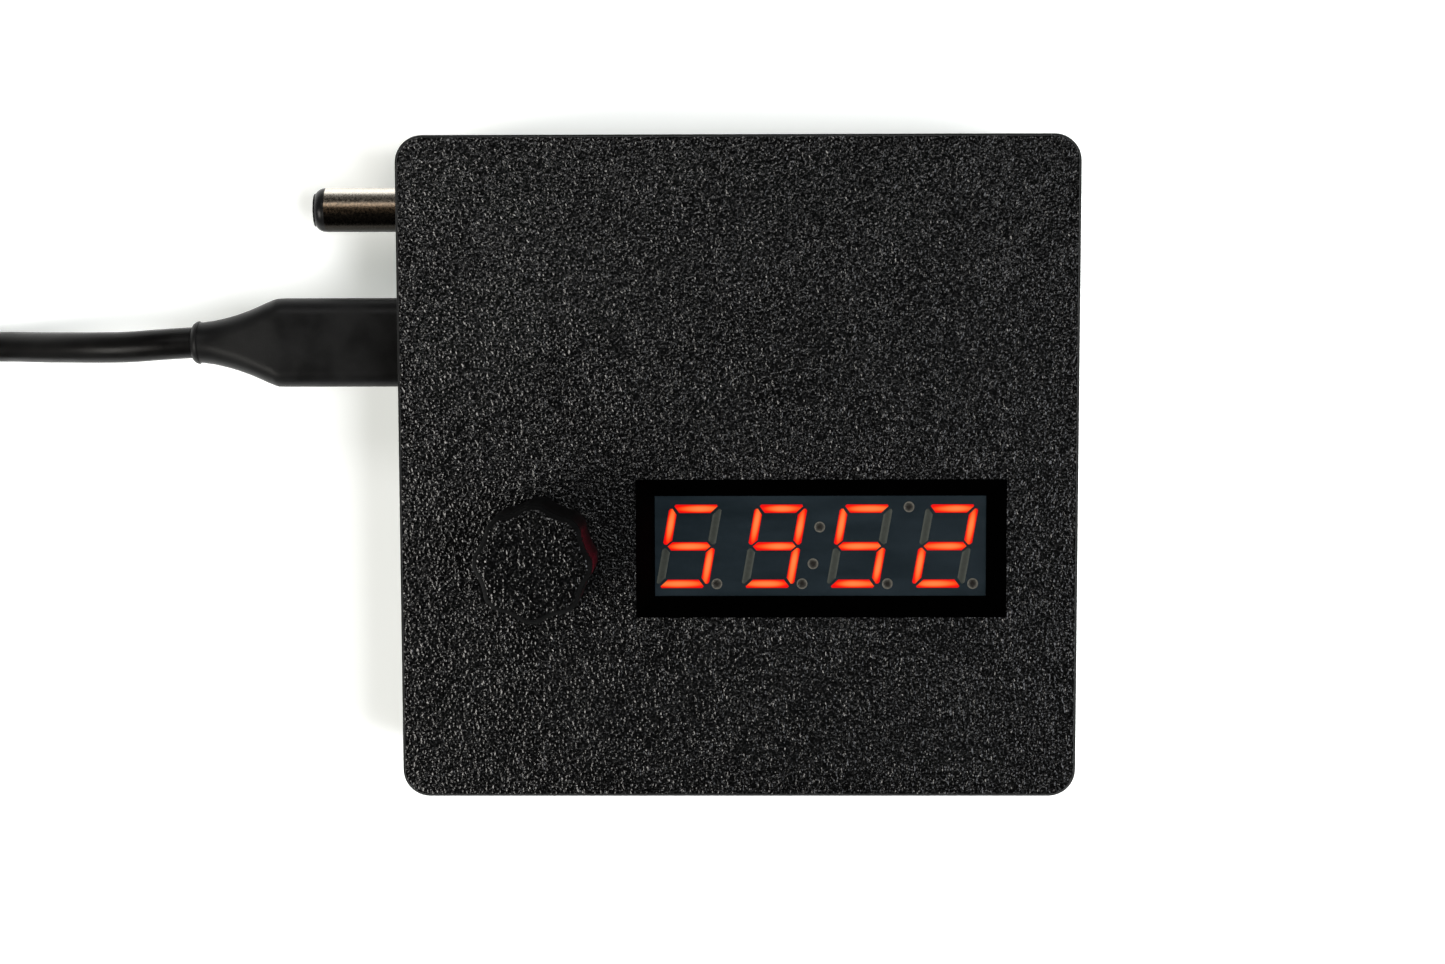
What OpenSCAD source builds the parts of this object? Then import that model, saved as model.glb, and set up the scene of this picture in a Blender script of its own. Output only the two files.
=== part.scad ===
// Desk control box: a low printed case with a recessed four-digit readout, a turn-and-push
// knob, a fixed DC barrel plug and a plugged-in USB-C lead.
// The origin is under the middle of the box and its barrel plug, on the surface that the
// feet stand on.  +X is the box's right, +Y its back, +Z up.

/* [Case] */
// Width of the case, left to right
case_w = 80; // [79:0.5:90]
// Depth of the case, front to back
case_d = 78.2; // [77:0.1:90]
// Height of the case, without its feet
case_h = 26; // [25:0.5:32]
// Radius of the case's upright corners
corner_r = 3.2; // [2.5:0.1:6]
// Thickness of the side walls
wall_t = 2; // [1.6:0.1:2.4]
// Thickness of the top panel
panel_t = 2.6; // [2:0.1:3.2]
// Bevel round the top panel's edge
edge_bevel = 0.3; // [0.2:0.1:1]
// Thickness of the bottom cover
cover_t = 2.5; // [2:0.1:3]
// Height of the stick-on feet
foot_h = 1.5; // [1:0.1:3]

/* [Readout] */
// Middle of the window, measured from the middle of the case
window_pos = [9.75, -9.4];
// Width and depth of the window where it meets the top face
window_size = [43.7, 16.4];
// Middle of the display module, measured from the middle of the case
display_pos = [9.55, -9.45];
// Width, depth and height of the display module
display_size = [40.2, 12.8, 7];
// Distance between digits
digit_pitch = 10.16; // [10:0.01:10.2]
// Height of a digit over its strokes
digit_h = 10; // [9.8:0.01:10.3]
// Lean of the digits, in degrees
digit_slant = 10; // [0:1:12]
// Segments that are lit in each digit
lit = ["acdfg", "abcdfg", "acdfg", "abdeg"];

/* [Knob] */
// Middle of the knob, measured from the middle of the case
knob_pos = [-23.35, -9.9];
// Radius over the knob's lobes
knob_r = 6.85; // [6.6:0.05:8]
// Height of the knob
knob_h = 10.4; // [10:0.1:12]
// Number of lobes
knob_lobes = 8; // [6:1:12]
// Gap between the knob and the top panel
knob_gap = 1; // [0.8:0.1:1.4]
// How far the knob pushes in
push_travel = 0.5; // [0.3:0.1:0.5]

/* [Barrel plug] */
// Place of the plug's axis across the case, from its middle
dc_y = 30.85; // [29:0.05:31]
// Height of the plug's axis
dc_z = 9.1; // [8.5:0.1:10]
// Outer diameter of the plug's sleeve
dc_d = 5.5; // [5.5, 5]
// Diameter of the plug's centre hole
dc_bore_d = 2.1; // [2.1, 2.5]
// How far the plug stands out of the case
dc_reach = 12.6; // [11:0.1:15]

/* [USB lead] */
// Place of the USB axis across the case, from its middle
usb_y = 14.6; // [13:0.1:15]
// Width of the lead's moulded grip
grip_w = 10.8; // [10:0.1:11.4]
// Thickness of the lead's moulded grip
grip_t = 6.5; // [6:0.1:7]
// Diameter of the lead's cable
cable_d = 3.8; // [3.6:0.1:3.8]

/* [Hidden] */
$fn = 48;
case_x = dc_reach / 2;
top_z = foot_h + case_h;
panel_z = top_z - panel_t;
cover_z = foot_h + cover_t;
bevel_gap = -0.4;
through = 60;

// The board hangs under the top panel, level with the display's back.
face_drop = 2.8;
board_t = 1.6;
board_z = top_z - face_drop - display_size[2];
board_under = board_z - board_t;
board_min = [-37.2, -21];
board_max = [37.2, 21.5];
board_screws = [[-34.5, -17.5], [34.5, -17.5], [24, 18.5], [-24, 18.5]];
cover_screws = [[-20, -33.5], [20, -33.5], [20, 33.5], [-20, 33.5]];
feet_at = [[-33, -32], [33, -32], [33, 32], [-33, 32]];
insert_r = 2.1;
insert_l = 5.7;

// Display: half sizes of a digit's stroke lines, before it leans.
stroke = 1;
face_t = 0.3;
digit_shift = -0.2;
seg_u = 3.14;
seg_v = digit_h / 2;
dot_d = 1.3;
pin_t = 0.5;

// Encoder, stacked up from the board.
enc_w = 12.4;
enc_floor = board_z + 0.5;
enc_ledge = board_z + 1.8;
enc_top = board_z + 5;
enc_plate_t = 0.4;
bushing_z = board_z + 6.5;
bushing_l = 5;
bushing_r = 3.5;
shaft_r = 3;
shaft_top = board_z + 18.6;
flat_z = bushing_z + bushing_l + 0.5;
key_w = 3.6;
fit_gap = 0.05;
knob_z = top_z + knob_gap;

// Barrel plug, from its tip towards the inside of the case.
dc_r = dc_d / 2;
dc_tip = -case_w / 2 - dc_reach;
dc_cap_l = 1.45;
dc_sleeve_l = 11;
dc_neck_r = dc_r - 0.4;
dc_liner_r = dc_r - 0.7;
dc_contact_r = dc_bore_d / 2 + 0.4;
dc_end = -34;

// USB socket and plug.
usb_z = board_under - 1.6;
socket_x = -39;
socket_l = 7.35;
socket_size = [8.94, 3.2];
shell_size = [8.25, 2.4];
shell_l = 6;
grip_x = -39.2;
grip_l = 17.2;
neck_l = 10.5;
neck_r = 2.45;

// Sections of the grip's taper: distance behind its full part, width and thickness.
taper = [[0, grip_w, grip_t], [0.9, 10.2, 6.4], [2, 9, 6.2], [3.8, 7.4, 5.8],
         [6.2, 5.9, 5.3], [8, 5.2, 5], [neck_l, 2 * neck_r, 2 * neck_r]];

// Cable: from the near plug, down to the surface and along it to the coil, measured from
// the middle of the case across and along, and from the surface up.
cable_r = cable_d / 2;
lead_route = [
    [-66.9, 14.6, 14.5], [-71, 14.35, 14.4], [-75, 14.05, 13.8], [-79, 13.95, 12.6],
    [-83, 13.9, 10.8], [-87, 13.85, 8.6], [-91, 13.85, 6.4], [-95, 13.8, 4.5],
    [-99, 13.8, 3.1], [-103, 13.8, 2.3], [-107, 13.8, 2], [-111, 13.8, 1.93],
    [-115, 13.8, 1.91], [-119, 13.8, 1.9], [-123, 13.8, 1.9], [-127, 13.8, 1.9]];
tail_route = [
    [-142.3, 8.8, 5.7], [-146.1, 6.6, 5.7], [-150.2, 3.8, 4.9], [-153.6, 0, 3.6],
    [-155.9, -4.4, 2.4], [-156.9, -9, 1.95], [-157.1, -13, 2.15], [-157.1, -17, 2.8],
    [-157.1, -21, 3.25]];
coil_pos = [-127, -12.2];
coil_in = 10.2;
coil_out = 28;
coil_h = 7.6;
tie_w = 8;
tie_t = 0.6;
far_plug = [-157.1, -21, 3.25];
cable_sides = 8;

// ---- placing helpers ----

module seated() translate([case_x, 0, 0]) children();

module at_each(places, z = 0) {
    for (p = places) translate([p[0], p[1], z]) children();
}

// Points +X instead of +Z.
module along_x() rotate([90, 0, 90]) children();

// ---- shape helpers ----

module rounded_rect(w, d, r) {
    square([w - 2 * r, d], center = true);
    square([w, d - 2 * r], center = true);
    for (x = [-1, 1], y = [-1, 1])
        translate([x * (w / 2 - r), y * (d / 2 - r)]) circle(r);
}

module slab(w, d, h, r) linear_extrude(h) rounded_rect(w, d, r);

// A bar whose sides slope from half width a at the bottom to b at the top.
module sloped_bar(long, a, b, h) {
    along_x() linear_extrude(long, center = true)
        polygon([[-a, 0], [a, 0], [b, h], [-b, h]]);
}

// A slab with a bevel of c round its top edge.
module bevelled_slab(w, d, h, r, c) {
    slab(w, d, h - c, r);
    translate([0, 0, h - c]) {
        sloped_bar(w - 2 * r, d / 2, d / 2 - c, c);
        rotate([0, 0, 90]) sloped_bar(d - 2 * r, w / 2, w / 2 - c, c);
        at_each([for (x = [-1, 1], y = [-1, 1]) [x * (w / 2 - r), y * (d / 2 - r)]])
            cylinder(c, r, r - c);
    }
}

module box_on(size, at, z) {
    translate([at[0] - size[0] / 2, at[1] - size[1] / 2, z]) cube(size);
}

module box_under(size, at) box_on(size, at, board_under - size[2]);

// ---- tube swept along a route ----

function unit(v) = v / norm(v);
function heading(p, i) = unit(p[min(i + 1, len(p) - 1)] - p[max(i - 1, 0)]);
function sideways(t) = unit(cross(t, abs(t[2]) > 0.9 ? [1, 0, 0] : [0, 0, 1]));
function ring(p, i, r, n) =
    let (t = heading(p, i), s = sideways(t), u = cross(s, t))
    [for (k = [0:n - 1]) p[i] + r * (cos(360 * k / n) * s + sin(360 * k / n) * u)];

module tube(p, r, n) {
    m = len(p);
    polyhedron(
        points = [for (i = [0:m - 1]) each ring(p, i, r, n)],
        faces = [
            [for (k = [0:n - 1]) n - 1 - k],
            [for (k = [0:n - 1]) (m - 1) * n + k],
            for (i = [0:m - 2], k = [0:n - 1])
                [i * n + k, i * n + (k + 1) % n, (i + 1) * n + (k + 1) % n, (i + 1) * n + k]]);
}

// ---- case ----

module window_cut() {
    low = [display_size[0] / 2 + bevel_gap, display_size[1] / 2 + bevel_gap];
    high = window_size / 2;
    translate([window_pos[0], window_pos[1], panel_z]) intersection() {
        sloped_bar(through, low[1], high[1], panel_t);
        rotate([0, 0, 90]) sloped_bar(through, low[0], high[0], panel_t);
    }
}

module grip_opening() {
    translate([-case_w / 2 - 1, usb_y, usb_z])
        along_x() slab(grip_w + 1, grip_t + 1, wall_t + 2, 2.7);
}

module cover_boss() {
    h = panel_z - cover_z;
    difference() {
        cylinder(h, r = 4);
        translate([0, 0, -1]) cylinder(insert_l + 2.5, r = insert_r);
    }
}

module board_post() {
    difference() {
        cylinder(panel_z - board_z, r = 2.6);
        translate([0, 0, -1]) cylinder(6, r = 1.05);
    }
}

module top_case() {
    color([0.13, 0.13, 0.135]) seated() {
        difference() {
            translate([0, 0, foot_h]) bevelled_slab(case_w, case_d, case_h, corner_r, edge_bevel);
            translate([0, 0, foot_h - 1])
                slab(case_w - 2 * wall_t, case_d - 2 * wall_t, case_h - panel_t + 1,
                     corner_r - wall_t);
            window_cut();
            translate([knob_pos[0], knob_pos[1], panel_z - 1])
                cylinder(panel_t + 2, r = bushing_r + 0.2);
            translate([-case_w / 2 - 1, dc_y, dc_z])
                along_x() cylinder(wall_t + 2, r = dc_r + 0.1);
            grip_opening();
        }
        at_each(cover_screws, cover_z) cover_boss();
        at_each(board_screws, board_z) board_post();
    }
}

module bottom_cover() {
    color([0.12, 0.12, 0.125]) seated() difference() {
        translate([0, 0, foot_h])
            slab(case_w - 2 * wall_t - 0.4, case_d - 2 * wall_t - 0.4, cover_t,
                 corner_r - wall_t - 0.1);
        at_each(cover_screws, foot_h - 1) cylinder(cover_t + 2, r = 1.7);
        at_each(cover_screws, foot_h) cylinder(1.5, 3.1, 1.6);
    }
}

module cover_screw() {
    difference() {
        union() {
            cylinder(1.4, 2.9, 1.5);
            cylinder(8, r = 1.5);
        }
        translate([0, 0, -0.1]) cylinder(1.1, r = 1, $fn = 6);
    }
}

module cover_screws() {
    color([0.55, 0.55, 0.56]) seated() at_each(cover_screws, foot_h) cover_screw();
}

module cover_insert() {
    difference() {
        cylinder(insert_l, r = insert_r);
        translate([0, 0, -1]) cylinder(insert_l + 2, r = 1.55);
        for (z = [1.9, 3.6]) translate([0, 0, z]) difference() {
            cylinder(0.5, r = insert_r + 1);
            cylinder(0.5, r = insert_r - 0.2);
        }
    }
}

module cover_inserts() {
    color([0.78, 0.6, 0.25]) seated() at_each(cover_screws, cover_z) cover_insert();
}

module rubber_feet() {
    color([0.08, 0.08, 0.08]) seated() at_each(feet_at) {
        cylinder(0.4, 3.6, 4);
        translate([0, 0, 0.4]) cylinder(foot_h - 0.4, r = 4);
    }
}

// ---- board and what is soldered to it ----

function display_pin_places() =
    [for (i = [0:5], s = [-1, 1]) display_pos + [(i - 2.5) * 2.54, s * 5.08]];
function encoder_pin_places() =
    concat([for (x = [-2.5, 0, 2.5]) knob_pos + [x, -7.1]],
           [for (x = [-2.5, 2.5]) knob_pos + [x, 7.1]]);
function frame_tab_places() = [for (s = [-1, 1]) knob_pos + [s * 6.4, 0]];

module pin_holes(places, w) {
    for (p = places) box_on([w, w, board_t + 2], p, board_under - 1);
}

module main_board() {
    color([0.05, 0.2, 0.1]) seated() difference() {
        translate([board_min[0], board_min[1], board_under])
            cube([board_max[0] - board_min[0], board_max[1] - board_min[1], board_t]);
        at_each(board_screws, board_under - 1) cylinder(board_t + 2, r = 1.4);
        pin_holes(display_pin_places(), pin_t);
        pin_holes(encoder_pin_places(), pin_t);
        at_each(frame_tab_places(), board_under - 1)
            translate([-0.2, -1.1, 0]) cube([0.4, 2.2, board_t + 2]);
    }
}

module board_screws() {
    color([0.6, 0.6, 0.62]) seated() at_each(board_screws, board_under - 1.5) {
        difference() {
            cylinder(1.5, r = 2.3);
            for (a = [0, 90]) rotate([0, 0, a]) translate([-1.3, -0.3, -1]) cube([2.6, 0.6, 1.8]);
        }
        cylinder(7, r = 1);
    }
}

module controller_chip() color([0.09, 0.09, 0.1]) seated() box_under([7, 7, 1.2], [2, 6]);

module display_driver() color([0.09, 0.09, 0.1]) seated() box_under([12.8, 7.5, 2.3], [9.7, -9.6]);

module crystal_can() {
    color([0.75, 0.75, 0.76]) seated()
        translate([11, 6, board_under - 1.3]) slab(5, 3.2, 1.3, 0.8);
}

module voltage_regulator() color([0.09, 0.09, 0.1]) seated() box_under([6.5, 3.5, 1.6], [-27, 7]);

module power_inductor() {
    color([0.25, 0.25, 0.26]) seated()
        translate([-16, 4, board_under - 4]) slab(7, 7, 4, 1.2);
}

module filter_capacitors() {
    color([0.7, 0.7, 0.72]) seated() at_each([[12, 14], [20, 8]], board_under - 5.4)
        cylinder(5.4, r = 3.15);
}

module output_transistor() color([0.09, 0.09, 0.1]) seated() box_under([6.5, 6, 2.3], [-6, 14]);

module chip_resistors() {
    color([0.12, 0.12, 0.12]) seated()
        for (i = [0:7]) box_under([1.25, 2, 0.55], [-4 + 3 * i, -1]);
}

module chip_capacitors() {
    color([0.6, 0.5, 0.38]) seated()
        for (i = [0:3]) box_under([1.25, 2, 0.8], [-20 + 3 * i, 12]);
}

// ---- display ----

// One segment of a digit, as the upright shape's corners.
across = [[-2.43, seg_v], [2.43, seg_v], [2.58, seg_v - 0.2], [1.85, seg_v - stroke],
          [-1.85, seg_v - stroke], [-2.58, seg_v - 0.2]];
upright = [[-seg_u, seg_v - 0.72], [-seg_u + 0.15, seg_v - 0.52], [-seg_u + 0.4, seg_v - 0.5],
           [-seg_u + stroke, seg_v - 1.22], [-seg_u + stroke, 0.72], [-seg_u + 0.45, 0.2],
           [-seg_u + 0.2, 0.22], [-seg_u, 0.42]];
middle = [[-2.55, 0], [-2.05, stroke / 2], [2.05, stroke / 2], [2.55, 0],
          [2.05, -stroke / 2], [-2.05, -stroke / 2]];

function flipped(p, x, y) = [for (q = p) [q[0] * x, q[1] * y]];
function segment(s) =
    s == "a" ? across :
    s == "b" ? flipped(upright, -1, 1) :
    s == "c" ? flipped(upright, -1, -1) :
    s == "d" ? flipped(across, 1, -1) :
    s == "e" ? flipped(upright, 1, -1) :
    s == "f" ? upright : middle;
function leaning(p) = [for (q = p) [q[0] + q[1] * tan(digit_slant), q[1]]];
function digit_at(i) = display_pos + [digit_shift + (i - 1.5) * digit_pitch, 0];
function has(text, s) = len(search(s, text)) > 0;

module segments(on) {
    for (i = [0:3], s = ["a", "b", "c", "d", "e", "f", "g"])
        if (has(lit[i], s) == on)
            translate([digit_at(i)[0], digit_at(i)[1], 0]) polygon(leaning(segment(s)));
}

function dot_places() =
    concat([for (i = [0:3]) digit_at(i) + [3.3, -4.5]],
           [digit_at(1) + [5.4, 2.3], digit_at(1) + [4.6, -2.1], digit_at(2) + [5.85, 4.7]]);

module dots() for (p = dot_places()) translate([p[0], p[1], 0]) circle(dot_d / 2);

module face_layer() {
    seated() translate([0, 0, board_z + display_size[2] - face_t]) linear_extrude(face_t) children();
}

module display_body() {
    color([0.05, 0.05, 0.055]) seated() translate([display_pos[0], display_pos[1], board_z])
        slab(display_size[0], display_size[1], display_size[2] - face_t, 0.3);
}

module display_face() {
    color([0.3, 0.34, 0.36]) face_layer() difference() {
        translate([display_pos[0], display_pos[1], 0])
            rounded_rect(display_size[0], display_size[1], 0.35);
        segments(true);
        segments(false);
        dots();
    }
}

module lit_segments() color([1, 0.25, 0.05]) face_layer() segments(true);

module unlit_segments() color([0.5, 0.5, 0.46]) face_layer() segments(false);

module display_dots() color([0.4, 0.39, 0.37]) face_layer() dots();

module display_pins() {
    color([0.75, 0.75, 0.76]) seated()
        for (p = display_pin_places()) box_on([pin_t, pin_t, board_t + 1], p, board_under - 1);
}

// ---- rotary encoder and knob ----

module at_knob(z) seated() translate([knob_pos[0], knob_pos[1], z]) children();

module encoder_base() {
    color([0.1, 0.25, 0.2]) at_knob(board_z) difference() {
        translate([-enc_w / 2, -enc_w / 2 - 1.2, 0]) cube([enc_w, enc_w + 2.4, enc_top - board_z]);
        translate([0, 0, enc_floor - board_z]) cylinder(10, r = 3.6);
        translate([0, 0, enc_ledge - board_z]) cylinder(10, r = 5.3);
    }
}

module encoder_pins() {
    color([0.78, 0.76, 0.7]) seated()
        for (p = encoder_pin_places()) box_on([pin_t, pin_t, board_t + 1], p, board_under - 1);
}

module encoder_frame() {
    color([0.72, 0.72, 0.73]) at_knob(enc_top) {
        difference() {
            translate([-6.6, -enc_w / 2, 0]) cube([13.2, enc_w, enc_plate_t]);
            translate([0, 0, -1]) cylinder(3, r = bushing_r + 0.1);
        }
        for (s = [-1, 1]) {
            translate([s * 6.4 - 0.2, -enc_w / 2, board_z - enc_top])
                cube([0.4, enc_w, enc_top - board_z]);
            translate([s * 6.4 - 0.2, -1.1, board_under - 0.8 - enc_top])
                cube([0.4, 2.2, board_t + 0.8]);
        }
    }
}

module encoder_bushing() {
    plate_h = bushing_z - enc_top - enc_plate_t;
    color([0.7, 0.7, 0.71]) at_knob(bushing_z) difference() {
        union() {
            translate([-5.8, -5.8, -plate_h]) cube([11.6, 11.6, plate_h]);
            cylinder(bushing_l - 0.4, r = bushing_r);
            translate([0, 0, bushing_l - 0.4]) cylinder(0.4, bushing_r, bushing_r - 0.4);
        }
        translate([0, 0, -5]) cylinder(20, r = shaft_r + fit_gap);
    }
}

module detent_spring() {
    color([0.8, 0.78, 0.6]) at_knob(enc_top - 0.2) {
        difference() {
            cylinder(0.2, r = 5.1);
            translate([0, 0, -1]) cylinder(3, r = 3.7);
        }
        for (s = [-1, 1]) translate([s * 4.4, 0, -0.3]) cylinder(0.3, 0.2, 0.5);
    }
}

module encoder_rotor() {
    detents = 20;
    color([0.85, 0.83, 0.78]) at_knob(enc_ledge + 0.1) difference() {
        union() {
            cylinder(1.8, r = 5);
            cylinder(2.4, r = 3.3);
        }
        for (i = [0:detents - 1]) rotate([0, 0, i * 360 / detents])
            translate([5, 0, -1]) cylinder(5, r = 0.35, $fn = 16);
        translate([-key_w / 2 - fit_gap, -key_w / 2 - fit_gap, -1])
            cube([key_w + 2 * fit_gap, key_w + 2 * fit_gap, 6]);
    }
}

// Round shaft with one flat, from z = flat_from up.
module d_shape(long, flat_from) {
    difference() {
        cylinder(long, r = shaft_r);
        translate([1.5, -shaft_r - 1, flat_from]) cube([5, 2 * shaft_r + 2, long]);
    }
}

module encoder_shaft() {
    shoulder = enc_top - 0.1;
    tip = enc_floor + push_travel + 0.05;
    color([0.72, 0.72, 0.74]) {
        at_knob(shoulder) d_shape(shaft_top - shoulder, flat_z - shoulder);
        at_knob(tip) translate([-key_w / 2, -key_w / 2, 0]) cube([key_w, key_w, shoulder - tip]);
    }
}

module snap_dome() {
    color([0.85, 0.82, 0.7]) at_knob(enc_floor) difference() {
        cylinder(push_travel, 2.9, 1.4);
        translate([0, 0, -0.01]) cylinder(push_travel - 0.14, 2.6, 1.3);
    }
}

// Shallow hollows between the lobes.
module scallops() {
    hollow_r = 7;
    valley_r = knob_r - 0.5;
    for (i = [0:knob_lobes - 1])
        rotate([0, 0, -2 + (i + 0.5) * 360 / knob_lobes])
            translate([valley_r + hollow_r, 0, -1]) cylinder(knob_h + 2, r = hollow_r);
}

module knob() {
    bevel = 0.5;
    recess = 1.8;
    color([0.1, 0.1, 0.105]) at_knob(knob_z) difference() {
        union() {
            cylinder(knob_h - bevel, r = knob_r);
            translate([0, 0, knob_h - bevel]) cylinder(bevel, knob_r, knob_r - bevel);
        }
        scallops();
        translate([0, 0, -1]) cylinder(recess + 1, r = 4.3);
        translate([0, 0, recess - 0.1]) d_shape(shaft_top - knob_z - recess + 0.2, 0);
    }
}

// ---- USB socket, plug and lead ----

// Rounded outline of a USB-C shell, with round ends.
module oval(size, grow = 0) {
    w = size[0] + 2 * grow;
    h = size[1] + 2 * grow;
    rounded_rect(w, h, h / 2 - 0.02);
}

module at_socket(x) seated() translate([x, usb_y, usb_z]) along_x() children();

module usb_socket_shell() {
    color([0.78, 0.78, 0.79]) at_socket(socket_x) {
        linear_extrude(socket_l) difference() {
            oval(socket_size);
            oval(socket_size, -0.25);
        }
        translate([0, 0, socket_l]) linear_extrude(0.25) oval(socket_size);
    }
}

module usb_socket_tongue() {
    color([0.1, 0.1, 0.1]) {
        at_socket(socket_x + socket_l - 1) linear_extrude(1) oval(socket_size, -0.25);
        at_socket(socket_x + 1) translate([-3.35, -0.35, 0]) cube([6.7, 0.7, socket_l - 2]);
    }
}

// A plug drawn with its axis along +Z, its mouth up and the grip's front face at z = 0.
module plug_shell() {
    linear_extrude(shell_l) difference() {
        oval(shell_size);
        oval(shell_size, -0.3);
    }
}

module plug_liner() {
    difference() {
        linear_extrude(shell_l - 0.2) oval(shell_size, -0.3);
        translate([-3.45, -0.45, 0.8]) cube([6.9, 0.9, shell_l]);
    }
}

module section(w, t) linear_extrude(0.02) rounded_rect(w, t, min(w, t) / 2 - 0.1, $fn = 32);

module plug_grip() {
    translate([0, 0, -grip_l]) slab(grip_w, grip_t, grip_l, 2.3);
    for (i = [0:len(taper) - 2]) hull() {
        translate([0, 0, -grip_l - taper[i][0]]) section(taper[i][1], taper[i][2]);
        translate([0, 0, -grip_l - taper[i + 1][0]]) section(taper[i + 1][1], taper[i + 1][2]);
    }
}

module at_far_plug() {
    reach = grip_l + neck_l;
    seated() translate([far_plug[0], far_plug[1] - reach, far_plug[2]])
        rotate([90, 0, 0]) children();
}

module usb_plug_shell() color([0.8, 0.8, 0.81]) at_socket(grip_x) plug_shell();

module usb_plug_liner() color([0.07, 0.07, 0.07]) at_socket(grip_x) plug_liner();

module usb_plug_grip() color([0.12, 0.12, 0.12]) at_socket(grip_x) plug_grip();

module usb_cable() color([0.1, 0.1, 0.1]) seated() tube(lead_route, cable_r, cable_sides);

module cable_coil() {
    color([0.1, 0.1, 0.1]) seated() translate([coil_pos[0], coil_pos[1], 0])
        rotate_extrude() translate([coil_in, 0]) square([coil_out - coil_in, coil_h]);
}

module cable_tie() {
    color([0.15, 0.15, 0.15]) seated() translate([coil_pos[0], coil_pos[1], 0])
        translate([-tie_w / 2, -coil_out - tie_t, 0]) difference() {
            cube([tie_w, coil_out - coil_in + 2 * tie_t, coil_h + tie_t]);
            translate([-1, tie_t, tie_t]) cube([tie_w + 2, coil_out - coil_in, coil_h - tie_t]);
        }
}

module cable_tail() color([0.1, 0.1, 0.1]) seated() tube(tail_route, cable_r, cable_sides);

module far_plug_grip() color([0.12, 0.12, 0.12]) at_far_plug() plug_grip();

module far_plug_shell() color([0.8, 0.8, 0.81]) at_far_plug() plug_shell();

module far_plug_liner() color([0.07, 0.07, 0.07]) at_far_plug() plug_liner();

// ---- barrel plug ----

module at_plug(x) seated() translate([x, dc_y, dc_z]) along_x() children();

module dc_plug_sleeve() {
    color([0.75, 0.73, 0.7]) at_plug(dc_tip + dc_cap_l) difference() {
        union() {
            cylinder(dc_sleeve_l, r = dc_r);
            cylinder(dc_end - dc_tip - dc_cap_l, r = dc_neck_r);
        }
        translate([0, 0, -1]) cylinder(40, r = dc_liner_r);
    }
}

// The insulator fills the sleeve and ends in a rounded cap at the tip.
module dc_plug_insulator() {
    cap_r = dc_r - 0.04;
    round_r = 1.3;
    color([0.07, 0.07, 0.07]) at_plug(dc_tip) rotate_extrude() difference() {
        union() {
            polygon([[0, round_r], [cap_r, round_r], [cap_r + 0.02, dc_cap_l], [0, dc_cap_l]]);
            square([cap_r - round_r, dc_cap_l]);
            translate([cap_r - round_r, round_r]) intersection() {
                circle(round_r);
                translate([0, -round_r]) square(round_r);
            }
            square([dc_liner_r, dc_end - dc_tip]);
        }
        translate([-1, -1]) square([1 + dc_contact_r, 100]);
    }
}

module dc_plug_contact() {
    color([0.78, 0.72, 0.55]) at_plug(dc_tip + 0.7) difference() {
        cylinder(dc_end + 4 - dc_tip - 0.7, r = dc_contact_r);
        translate([0, 0, -1]) cylinder(dc_sleeve_l + 1, r = dc_bore_d / 2);
    }
}

module dc_plug_collar() {
    color([0.07, 0.07, 0.07]) at_plug(-case_w / 2 + wall_t) difference() {
        cylinder(dc_end + case_w / 2 - wall_t, r = 3.6);
        translate([0, 0, -1]) cylinder(20, r = dc_neck_r);
    }
}

module dc_plug_clamp() {
    color([0.12, 0.12, 0.125]) seated() difference() {
        translate([-case_w / 2 + wall_t, dc_y - 5.5, cover_z])
            cube([3.6, 10.3, dc_z + 5 - cover_z]);
        translate([-case_w / 2, dc_y, dc_z]) along_x() cylinder(10, r = 3.6);
    }
}

// Ring lug on the sleeve's inner end, with a solder tail.
module dc_plug_lug() {
    color([0.75, 0.73, 0.7]) at_plug(dc_end) {
        difference() {
            cylinder(0.4, r = 3.2);
            translate([0, 0, -1]) cylinder(3, r = dc_contact_r + 0.3);
        }
        translate([-0.8, -3.4, 0]) cube([1.6, 1.2, 4]);
    }
}

wire_r = 0.65;
red_route = [
    [-30, dc_y, 9.1], [-28, dc_y, 9.1], [-26, 30.6, 9.3], [-23.8, 29, 9.8], [-22, 26.6, 10.6],
    [-20.6, 24, 11.6], [-19, 21.4, 12.5], [-17, 19.4, 13.4], [-15.4, 18.2, 14.2],
    [-14.4, 17.8, 15.2], [-14.4, 17.8, 16.1]];
black_route = [
    [-30, dc_y, 6.3], [-28, dc_y, 6.3], [-26, 30, 6.4], [-24, 28, 7], [-21.6, 25, 8.2],
    [-19, 22, 9.6], [-16, 19.8, 11.2], [-13, 18.6, 12.8], [-11.2, 18, 14.2],
    [-10.6, 17.8, 15.3], [-10.6, 17.8, 16.1]];

module red_wire() color([0.7, 0.06, 0.05]) seated() tube(red_route, wire_r, cable_sides);

module black_wire() color([0.06, 0.06, 0.06]) seated() tube(black_route, wire_r, cable_sides);

top_case();
bottom_cover();
cover_screws();
cover_inserts();
rubber_feet();
main_board();
board_screws();
controller_chip();
display_driver();
crystal_can();
voltage_regulator();
power_inductor();
filter_capacitors();
output_transistor();
chip_resistors();
chip_capacitors();
display_body();
display_face();
lit_segments();
unlit_segments();
display_dots();
display_pins();
encoder_base();
encoder_pins();
encoder_frame();
encoder_bushing();
detent_spring();
encoder_rotor();
encoder_shaft();
snap_dome();
knob();
usb_socket_shell();
usb_socket_tongue();
usb_plug_shell();
usb_plug_liner();
usb_plug_grip();
usb_cable();
cable_coil();
cable_tie();
cable_tail();
far_plug_grip();
far_plug_shell();
far_plug_liner();
dc_plug_sleeve();
dc_plug_insulator();
dc_plug_contact();
dc_plug_collar();
dc_plug_clamp();
dc_plug_lug();
red_wire();
black_wire();
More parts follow.
